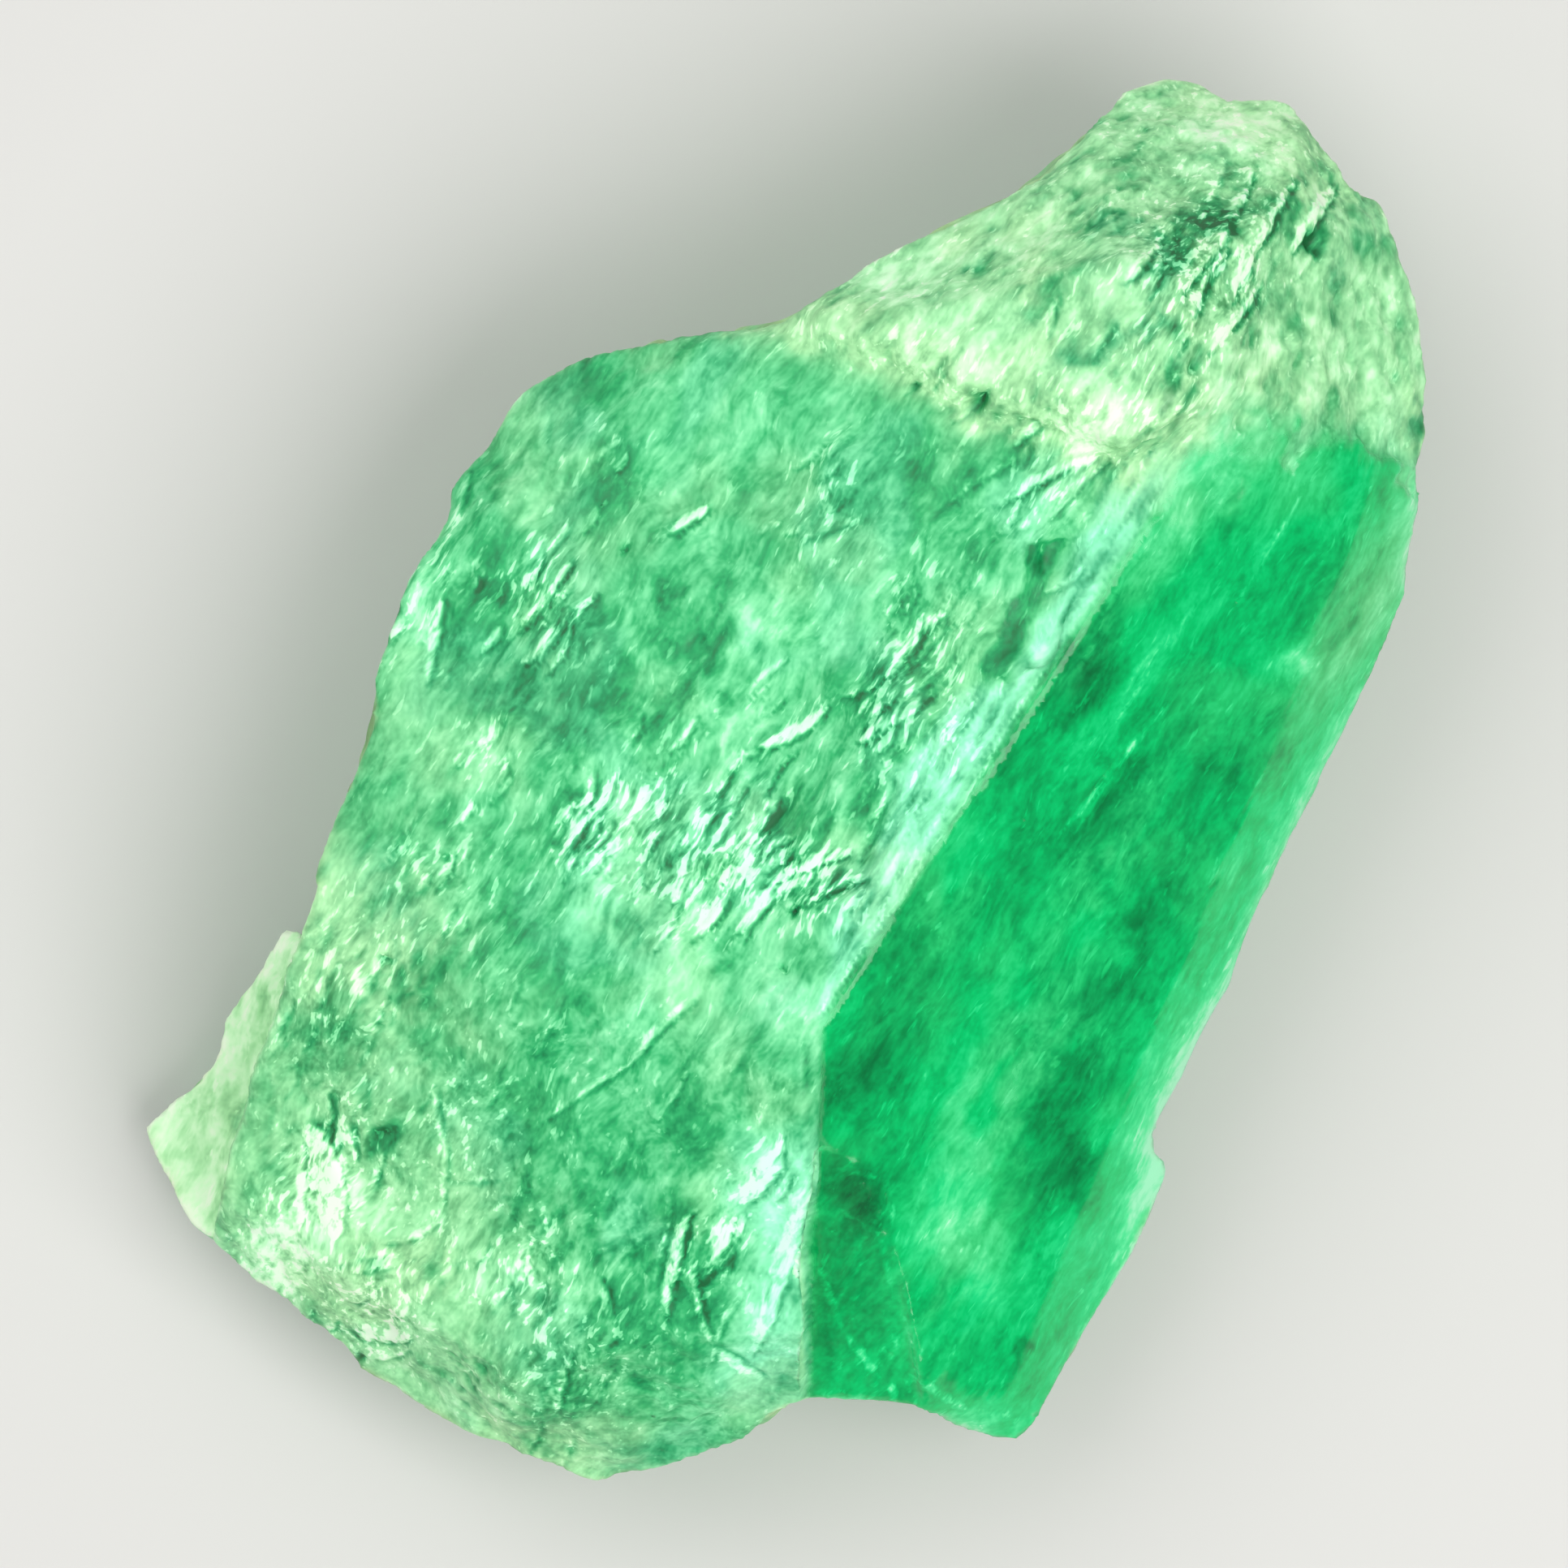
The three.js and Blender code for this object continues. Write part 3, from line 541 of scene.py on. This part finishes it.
# Stain is the iron-yellow share of the green, and mint is its cool share
stain = np.clip(0.75 * cap + riser + 1.0 * shelf + 0.8 * outline + rim * 0.8
                + 0.65 * lower_left * top + 0.35 * wall
                + 0.3 * step(0.1, 0.6, lumps(rest, 2.8, 3, 37)), 0, 1) * (1 - 0.8 * clear)
olive = np.exp(-reaches_away(plan, (10.7, 3.2), 2.0, 0.6))
stain = np.clip(stain + 0.35 * olive * clear, 0, 1) * (0.15 + 0.85 * step(0.22, 0.55, tone))
tone += 0.10 * haze * clear
clear *= 1 - 0.6 * haze
tone += (0.2 + 0.7 * (grain_tone + clouds) - tone) * panel
stain *= 1 - panel
mint = np.clip(strip + 0.8 * np.exp(-(distance(plan, [(0.3, -7), (-0.3, -10.5)]) / 0.7) ** 2)
               + 0.4 * step(0.1, 0.5, lumps(rest, 2.2, 2, 38)), 0, 1) * (1 - clear) * (1 - panel)

# The finish reads these as attributes. Wander is how far the grain strays from a straight line.
wander = np.column_stack([lumps(rest, 1.3, 2, seed) for seed in (51, 52, 53)]) * 0.14 * MILLIMETRE
skin.attributes.new("wander", "FLOAT_VECTOR", "POINT").data.foreach_set("vector", wander.ravel())
for name, values in {"tone": tone, "clear": clear, "stain": stain, "mint": mint, "gap": gap,
                     "whiteness": whiteness, "zone": zone, "rim": rim}.items():
    skin.attributes.new(name, "FLOAT", "POINT").data.foreach_set("value", values)


def thin_out(chosen, weight, kept):
    """Merge triangles where chosen until the whole stone has the number kept. With weight 1 the
    flattest go first, and with less the smallest do."""
    group = crystal.vertex_groups.new(name="thinned")
    group.add(np.flatnonzero(chosen).tolist(), weight, "REPLACE")
    triangles = sum(len(p.vertices) - 2 for p in skin.polygons)
    apply_modifier(crystal, "DECIMATE", ratio=kept / triangles, vertex_group="thinned",
                   vertex_group_factor=0.2)
    crystal.vertex_groups.clear()


# The underside and the walls need fewer triangles than the worked top
WITH_THIN_WALLS = 250000
KEPT_TRIANGLES = 196000
thin_out(facing[:, 2] < 0, 1.0, WITH_THIN_WALLS)
thin_out(np.ones(len(skin.vertices)), 0.5, KEPT_TRIANGLES)
after = read(skin.vertices, "co")
after[:, 2] = np.maximum(after[:, 2], 0)
skin.vertices.foreach_set("co", after.ravel())
crystal.scale = [MILLIMETRE] * 3
select_only(crystal)
bpy.ops.object.transform_apply(scale=True)
bpy.ops.object.shade_smooth()


def colour(hex_code):
    """An sRGB hex colour in linear numbers"""
    parts = [int(hex_code[i:i + 2], 16) / 255 for i in (1, 3, 5)]
    return [c / 12.92 if c < 0.04045 else ((c + 0.055) / 1.055) ** 2.4 for c in parts] + [1]


def add(tree, kind, links=(), out=0, stops=(), **settings):
    """Add a node with its settings, its inputs linked or set and a ramp's stops. Gives an output."""
    node = tree.nodes.new("ShaderNode" + kind)
    for name, value in settings.items():
        setattr(node, name, value)
    for socket, source in dict(links).items():
        if isinstance(source, bpy.types.NodeSocket):
            tree.links.new(source, node.inputs[socket])
        else:
            node.inputs[socket].default_value = source
    for number, (place, code) in enumerate(stops):
        if number > 1:
            node.color_ramp.elements.new(1.0)
        node.color_ramp.elements[number].position = place
        node.color_ramp.elements[number].color = colour(code)
    return node.outputs[out] if node.outputs else None


# Emerald: glassy beryl, see-through on its growth face and frosted by fracture everywhere else.
# The frost is a rough, milky skin over the same green, so it passes less light. The finest fibres
# and sugar are drawn at the smallest size that still shows.
BERYL_IOR = 1.58
BERYL_GREEN = (0.05, 0.89, 0.60, 1)      # what a path through the stone lets pass, in linear numbers
GREEN_DENSITY = 80.0                     # per metre
GLASSY = 0.12                            # roughness of the growth face
FIBRE = 0.17 * MILLIMETRE
NEEDLE = 0.13 * MILLIMETRE
SUGAR = 0.26 * MILLIMETRE
emerald = bpy.data.materials.new("emerald, glassy face and frosted fracture")
emerald.use_nodes = True
tree = emerald.node_tree
tree.nodes.clear()

# Places along and across the grain, which wanders by about a seventh of a millimetre
place = add(tree, "TexCoord", out="Object")
grain = add(tree, "Mapping", {"Vector": place, "Rotation": (0, 0, -LONG_AXIS)})
wander_here = add(tree, "Attribute", out="Vector", attribute_name="wander")
wavy_grain = add(tree, "VectorMath", {0: grain, 1: wander_here}, operation="ADD")
drawn_out = add(tree, "Mapping", {"Vector": wavy_grain, "Scale": (0.27, 1, 1)})
fibres = add(tree, "TexNoise", {"Vector": drawn_out, "Scale": 1 / FIBRE, "Detail": 2.0,
                                "Roughness": 0.62})
needles = add(tree, "TexNoise", {"Vector": drawn_out, "Scale": 1 / NEEDLE, "Detail": 1.0,
                                 "Roughness": 0.6})
short_grain = add(tree, "Mapping", {"Vector": wavy_grain, "Scale": (0.7, 1, 1)})
sugar = add(tree, "TexNoise", {"Vector": short_grain, "Scale": 1 / SUGAR, "Detail": 2.0,
                               "Roughness": 0.75})

clear_share = add(tree, "Attribute", out="Fac", attribute_name="clear")
zone_here = add(tree, "Attribute", out="Fac", attribute_name="zone")

# White splinters: fibres that pass a level, which is lower where splinters lie thickly
level = add(tree, "MapRange", {"Value": zone_here, "To Min": 0.66, "To Max": 0.535})
over = add(tree, "Math", {0: fibres, 1: level}, operation="SUBTRACT")
white_fibres = add(tree, "MapRange", {"Value": over, "From Min": -0.02, "From Max": 0.05})
strength = add(tree, "MapRange", {"Value": zone_here, "To Min": 0.16, "To Max": 0.45})
white_fibres = add(tree, "Math", {0: white_fibres, 1: strength}, operation="MULTIPLY")
dark_gaps = add(tree, "MapRange", {"Value": fibres, "From Min": 0.47, "From Max": 0.36})
dark_gaps = add(tree, "Math", {0: dark_gaps, 1: zone_here}, operation="MULTIPLY")

# The larger splinters, with frayed edges and broken by the same fibres
fray_here = add(tree, "MapRange", {"Value": needles, "From Min": 0.3, "From Max": 0.7,
                                   "To Min": -0.035, "To Max": 0.035})
edge_gap = add(tree, "Attribute", out="Fac", attribute_name="gap")
edge_gap = add(tree, "Math", {0: edge_gap, 1: fray_here}, operation="ADD")
streak = add(tree, "MapRange", {"Value": edge_gap, "From Min": 0.03, "From Max": -0.04})
white_here = add(tree, "Attribute", out="Fac", attribute_name="whiteness")
streak = add(tree, "Math", {0: streak, 1: white_here}, operation="MULTIPLY")
broken = add(tree, "MapRange", {"Value": fibres, "From Min": 0.38, "From Max": 0.56,
                                "To Min": 0.12, "To Max": 0.55})
streak = add(tree, "Math", {0: streak, 1: broken}, operation="MULTIPLY")

# All of it together, as one scale from the darkest green to white
grain_strength = add(tree, "MapRange", {"Value": clear_share, "To Min": 0.31, "To Max": 0.26})
crisp_sugar = add(tree, "MapRange", {"Value": sugar, "From Min": 0.36, "From Max": 0.64,
                                     "To Min": 0.25, "To Max": 0.75})
texture = add(tree, "Math", {0: needles, 1: crisp_sugar}, operation="ADD")
texture = add(tree, "Math", {0: texture, 1: 1.0}, operation="SUBTRACT")
tone_here = add(tree, "Attribute", out="Fac", attribute_name="tone")
tone_here = add(tree, "Math", {0: texture, 1: grain_strength, 2: tone_here},
                operation="MULTIPLY_ADD")
tone_here = add(tree, "Math", {0: tone_here, 1: white_fibres}, operation="ADD")
tone_here = add(tree, "Math", {0: tone_here, 1: streak}, operation="ADD")
tone_here = add(tree, "Math", {0: dark_gaps, 1: -0.22, 2: tone_here}, operation="MULTIPLY_ADD")

frosted = add(tree, "ValToRGB", {"Fac": tone_here}, stops=[
    (0.0, "#006634"), (0.2, "#009254"), (0.35, "#28B269"), (0.5, "#5ED08B"), (0.65, "#84E6A6"),
    (0.8, "#AEF6C2"), (1.0, "#D4F8DE")])
deep = add(tree, "ValToRGB", {"Fac": tone_here}, stops=[
    (0.0, "#006E3C"), (0.2, "#00A056"), (0.35, "#00C068"), (0.5, "#00DA78"), (0.65, "#20EA8C"),
    (0.8, "#50FAA2"), (1.0, "#A8FFCC")])
stained = add(tree, "ValToRGB", {"Fac": tone_here}, stops=[
    (0.0, "#3A7240"), (0.2, "#5EA266"), (0.35, "#7CBE84"), (0.5, "#96D898"), (0.65, "#B0EEAE"),
    (0.8, "#CCFAC6"), (1.0, "#E6FADC")])
minty = add(tree, "ValToRGB", {"Fac": tone_here}, stops=[
    (0.0, "#006A3A"), (0.2, "#1A9C64"), (0.35, "#48BC86"), (0.5, "#70D8A2"), (0.65, "#88F0BA"),
    (0.8, "#A4FAD0"), (1.0, "#D0F8E4")])
mint_share = add(tree, "Attribute", out="Fac", attribute_name="mint")
green = add(tree, "Mix", {0: mint_share, 6: frosted, 7: minty}, out=2, data_type="RGBA")
green = add(tree, "Mix", {0: clear_share, 6: green, 7: deep}, out=2, data_type="RGBA")
stain_share = add(tree, "Attribute", out="Fac", attribute_name="stain")
green = add(tree, "Mix", {0: stain_share, 6: green, 7: stained}, out=2, data_type="RGBA")
rim_share = add(tree, "Attribute", out="Fac", attribute_name="rim")
rim_share = add(tree, "Math", {0: rim_share, 1: 0.35}, operation="MULTIPLY")
green = add(tree, "Mix", {0: rim_share, 6: green, 7: colour("#B5A45A")}, out=2, data_type="RGBA")

# Whiter is milkier: it passes less light. The growth face passes the most.
frost_clearness = add(tree, "MapRange", {"Value": tone_here, "From Min": 0.15, "From Max": 0.85,
                                         "To Min": 0.22, "To Max": 0.05})
face_clearness = add(tree, "MapRange", {"Value": tone_here, "From Min": 0.2, "From Max": 1.0,
                                        "To Min": 0.45, "To Max": 0.25})
clearness = add(tree, "Mix", {0: clear_share, 2: frost_clearness, 3: face_clearness})
frost_roughness = add(tree, "MapRange", {"Value": sugar, "From Min": 0.3, "From Max": 0.7,
                                         "To Min": 0.38, "To Max": 0.58})
roughness = add(tree, "Mix", {0: clear_share, 2: frost_roughness, 3: GLASSY})
beryl = add(tree, "BsdfPrincipled", {
    "Base Color": green, "Roughness": roughness, "IOR": BERYL_IOR, "Specular IOR Level": 0.22,
    "Transmission Weight": clearness})
green_body = add(tree, "VolumeAbsorption", {"Color": BERYL_GREEN, "Density": GREEN_DENSITY})
add(tree, "OutputMaterial", {"Surface": beryl, "Volume": green_body})
crystal.data.materials.append(emerald)

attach(crystal, "root")
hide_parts("emerald_crystal")

# ---- Healed fractures ---------------------------------------------------------------------------
# Old cracks that closed while the crystal still grew. Each left a thin, gently curved veil of tiny
# flat drops and flakes, pale against the green, sealed well below the surface.

shell = BVHTree.FromObject(crystal, bpy.context.evaluated_depsgraph_get())
draw = np.random.default_rng(41)


def sealed(place, margin):
    """True if a place in millimetres lies inside the stone, at least margin below its surface"""
    nearest, normal, _, gap_to_surface = shell.find_nearest(Vector(place) * MILLIMETRE)
    return ((Vector(place) * MILLIMETRE - nearest).dot(normal) < 0
            and gap_to_surface > margin * MILLIMETRE)


def frame_of(direction, roll):
    """Three square axes, the last along a direction, turned about it by roll"""
    last = np.array(direction) / np.linalg.norm(direction)
    first = np.cross(last, (0.3, 0.5, 0.8))
    first /= np.linalg.norm(first)
    second = np.cross(last, first)
    return np.array([first * math.cos(roll) + second * math.sin(roll),
                     second * math.cos(roll) - first * math.sin(roll), last])


def scattered(name, model, placings):
    """One mesh of many copies of a small model, each with its axes, sizes and place"""
    corners = read(model.data.vertices, "co")
    sides = [list(p.vertices) for p in model.data.polygons]
    places, faces = [], []
    for axes, sizes, place in placings:
        faces += [[v + len(places) for v in side] for side in sides]
        places += list((corners * sizes @ axes + place) * MILLIMETRE)
    mesh = bpy.data.meshes.new(name)
    mesh.from_pydata(places, [], faces)
    piece = bpy.data.objects.new(name, mesh)
    bpy.context.scene.collection.objects.link(piece)
    bpy.data.objects.remove(model)
    return piece


VEILS = [  # middle, facing, radius and bow, in millimetres, and how many flakes
    ((4.4, -4.6, 4.2), (0.75, -0.25, 0.6), 2.7, 0.5, 300),
    ((5.6, -1.6, 3.9), (0.6, -0.5, 0.62), 1.8, 0.3, 150),
    ((3.2, -8.2, 3.1), (0.5, 0.3, 0.8), 1.6, 0.3, 130),
    ((7.6, 3.2, 4.2), (0.3, -0.7, 0.65), 1.9, 0.4, 140),
    ((2.6, 1.0, 5.6), (0.8, -0.3, 0.5), 2.0, 0.3, 90),
]
placings = []
for middle, facing_way, radius, bow, count in VEILS:
    veil_axes = frame_of(facing_way, 0)
    for _ in range(count):
        angle = draw.uniform(0, math.tau)
        out = math.sqrt(draw.uniform()) * radius
        patchy = math.sin(angle * 3 + out * 2.1) + math.sin(out * 5 + angle)
        if patchy < draw.uniform(-1.6, 1.0):
            continue
        local = np.array([math.cos(angle) * out, math.sin(angle) * out * 0.6,
                          bow * (out / radius) ** 2 + draw.normal() * 0.03])
        place = local @ veil_axes + middle
        if sealed(place, 0.3):
            tilt = np.array(facing_way) + draw.normal(size=3) * 0.12
            wide = 0.03 + 0.05 * draw.uniform() ** 2
            placings.append((frame_of(tilt, draw.uniform(0, math.tau)),
                             (wide, wide * draw.uniform(0.5, 1), 0.012), place))
bpy.ops.object.select_all(action="DESELECT")
bpy.ops.mesh.primitive_cylinder_add(vertices=6, radius=1, depth=1)
healed_fractures = scattered("healed_fractures", bpy.context.object, placings)

# Fluid films in beryl: pale and satiny, because each drop's wall scatters the light
film = bpy.data.materials.new("fluid film, pale and satiny")
film.use_nodes = True
film_look = film.node_tree.nodes["Principled BSDF"]
film_place = add(film.node_tree, "TexCoord", out="Object")
film_patches = add(film.node_tree, "TexNoise", {"Vector": film_place,
                                                "Scale": 1 / (0.6 * MILLIMETRE)})
film_colour = add(film.node_tree, "ValToRGB", {"Fac": film_patches}, stops=[
    (0.3, "#9FE8BE"), (0.7, "#E4FFEC")])
film.node_tree.links.new(film_colour, film_look.inputs["Base Color"])
film_look.inputs["Roughness"].default_value = 0.35
healed_fractures.data.materials.append(film)
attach(healed_fractures, "root")

# ---- Growth tubes -------------------------------------------------------------------------------
# Hollow hairs left where a speck on the growing end kept the beryl from closing. They are straight,
# taper to a point, and all lie along the prism's axis.

TUBE_COUNT = 60
placings = []
while len(placings) < TUBE_COUNT:
    place = np.array([draw.uniform(0, 10.5), draw.uniform(-11, 6), draw.uniform(1.2, 7.5)])
    half_length = draw.uniform(0.3, 1.5)
    ends = [place - ALONG * half_length, place, place + ALONG * half_length]
    if all(sealed(end, 0.25) for end in ends):
        thick = draw.uniform(0.014, 0.034)
        nearly_along = ALONG + draw.normal(size=3) * 0.015
        placings.append((frame_of(nearly_along, 0), (thick, thick, half_length), place))
bpy.ops.object.select_all(action="DESELECT")
bpy.ops.mesh.primitive_cylinder_add(vertices=6, radius=1, depth=2)
bpy.ops.object.mode_set(mode="EDIT")
bpy.ops.mesh.select_all(action="SELECT")
bpy.ops.mesh.subdivide(number_cuts=2)
bpy.ops.object.mode_set(mode="OBJECT")
tube = bpy.context.object
for vertex in tube.data.vertices:
    slim = 0.25 if vertex.co.z > 0.9 else 1.0
    vertex.co.x *= slim
    vertex.co.y *= slim
growth_tubes = scattered("growth_tubes", tube, placings)
growth_tubes.data.materials.append(film)
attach(growth_tubes, "root")

# ---- Guest crystals -----------------------------------------------------------------------------
# Small, stubby crystals of other minerals that the beryl closed over: some pale, some dark.

# Kind, how many, colour and roughness
GUESTS = [("pale", 16, "#D8F5DC", 0.3), ("dark", 14, "#0B3A22", 0.4)]
for kind, count, guest_colour, guest_roughness in GUESTS:
    placings = []
    while len(placings) < count:
        place = np.array([draw.uniform(0, 10), draw.uniform(-11, 6), draw.uniform(1.5, 7.5)])
        if sealed(place, 0.4):
            wide = draw.uniform(0.05, 0.13)
            placings.append((frame_of(draw.normal(size=3), draw.uniform(0, 6)),
                             (wide, wide, wide * draw.uniform(0.8, 1.8)), place))
    bpy.ops.object.select_all(action="DESELECT")
    bpy.ops.mesh.primitive_cylinder_add(vertices=6, radius=1, depth=2)
    bpy.ops.object.mode_set(mode="EDIT")
    bpy.ops.mesh.select_all(action="SELECT")
    bpy.ops.mesh.bevel(offset=0.25, segments=1)
    bpy.ops.object.mode_set(mode="OBJECT")
    guest_crystals = scattered("guest_crystals_" + kind, bpy.context.object, placings)
    # Quartz or feldspar is pale and glassy, and mica or tourmaline is dark
    guest = bpy.data.materials.new(kind + " guest mineral")
    guest.use_nodes = True
    guest_look = guest.node_tree.nodes["Principled BSDF"]
    guest_look.inputs["Base Color"].default_value = colour(guest_colour)
    guest_look.inputs["Roughness"].default_value = guest_roughness
    guest_crystals.data.materials.append(guest)
    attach(guest_crystals, "root")

# ---- Floor, lights and camera -------------------------------------------------------------------
# A plain pale table top in soft, even light, seen from straight above.

bpy.ops.object.select_all(action="DESELECT")
FLOOR_GAP = 0.02 * MILLIMETRE    # so that floor and stone don't share one plane
bpy.ops.mesh.primitive_plane_add(size=4, location=(0, 0, -FLOOR_GAP))
floor = bpy.context.object
floor.name = "floor"
bpy.ops.object.transform_apply(location=True)
# Painted board: matte and even
matte = bpy.data.materials.new("matte pale board")
matte.use_nodes = True
matte_look = matte.node_tree.nodes["Principled BSDF"]
matte_look.inputs["Base Color"].default_value = colour("#C9C8C5")
matte_look.inputs["Roughness"].default_value = 0.9
floor.data.materials.append(matte)


def soft_light(name, heading, height, metres_away, size, watts):
    """A square light panel that looks at the stone from a heading and a height, in degrees"""
    bpy.ops.object.light_add(type="AREA")
    light = bpy.context.object
    light.name = name
    turn = math.radians(heading)
    lift = math.radians(height)
    outward = Vector((math.cos(turn) * math.cos(lift), math.sin(turn) * math.cos(lift),
                      math.sin(lift)))
    light.location = outward * metres_away
    light.rotation_euler = outward.to_track_quat("Z", "Y").to_euler()
    light.data.size = size
    light.data.energy = watts
    light.visible_camera = False


soft_light("key light", 140, 55, 0.20, 0.16, 0.12)
soft_light("fill light", -40, 57, 0.25, 0.20, 0.53)

# The room is dimmer low on the side that the clear face looks to, so that its green stays deep
world = bpy.data.worlds.new("soft room")
bpy.context.scene.world = world
world.use_nodes = True
room = world.node_tree
room_way = add(room, "TexCoord", out="Generated")
room_side = add(room, "VectorMath", {0: room_way, 1: tuple(ACROSS)}, out="Value",
                operation="DOT_PRODUCT")
room_light = add(room, "MapRange", {"Value": room_side, "From Min": 0.0, "From Max": 0.8,
                                    "To Min": 0.75, "To Max": 0.15})
room.nodes["Background"].inputs["Color"].default_value = (1, 1, 1, 1)
room.links.new(room_light, room.nodes["Background"].inputs["Strength"])

VIEW_WIDTH = 28.98 * MILLIMETRE  # at half the stone's height
HALF_HEIGHT = 5 * MILLIMETRE
CAMERA_HEIGHT = 0.5
camera_data = bpy.data.cameras.new("camera above")
camera = bpy.data.objects.new("camera above", camera_data)
bpy.context.scene.collection.objects.link(camera)
camera.location = (0, 0, CAMERA_HEIGHT + HALF_HEIGHT)
camera_data.lens = camera_data.sensor_width * CAMERA_HEIGHT / VIEW_WIDTH
camera_data.clip_start = 0.1
camera_data.clip_end = 5
bpy.context.scene.camera = camera
bpy.context.scene.view_settings.view_transform = "Standard"
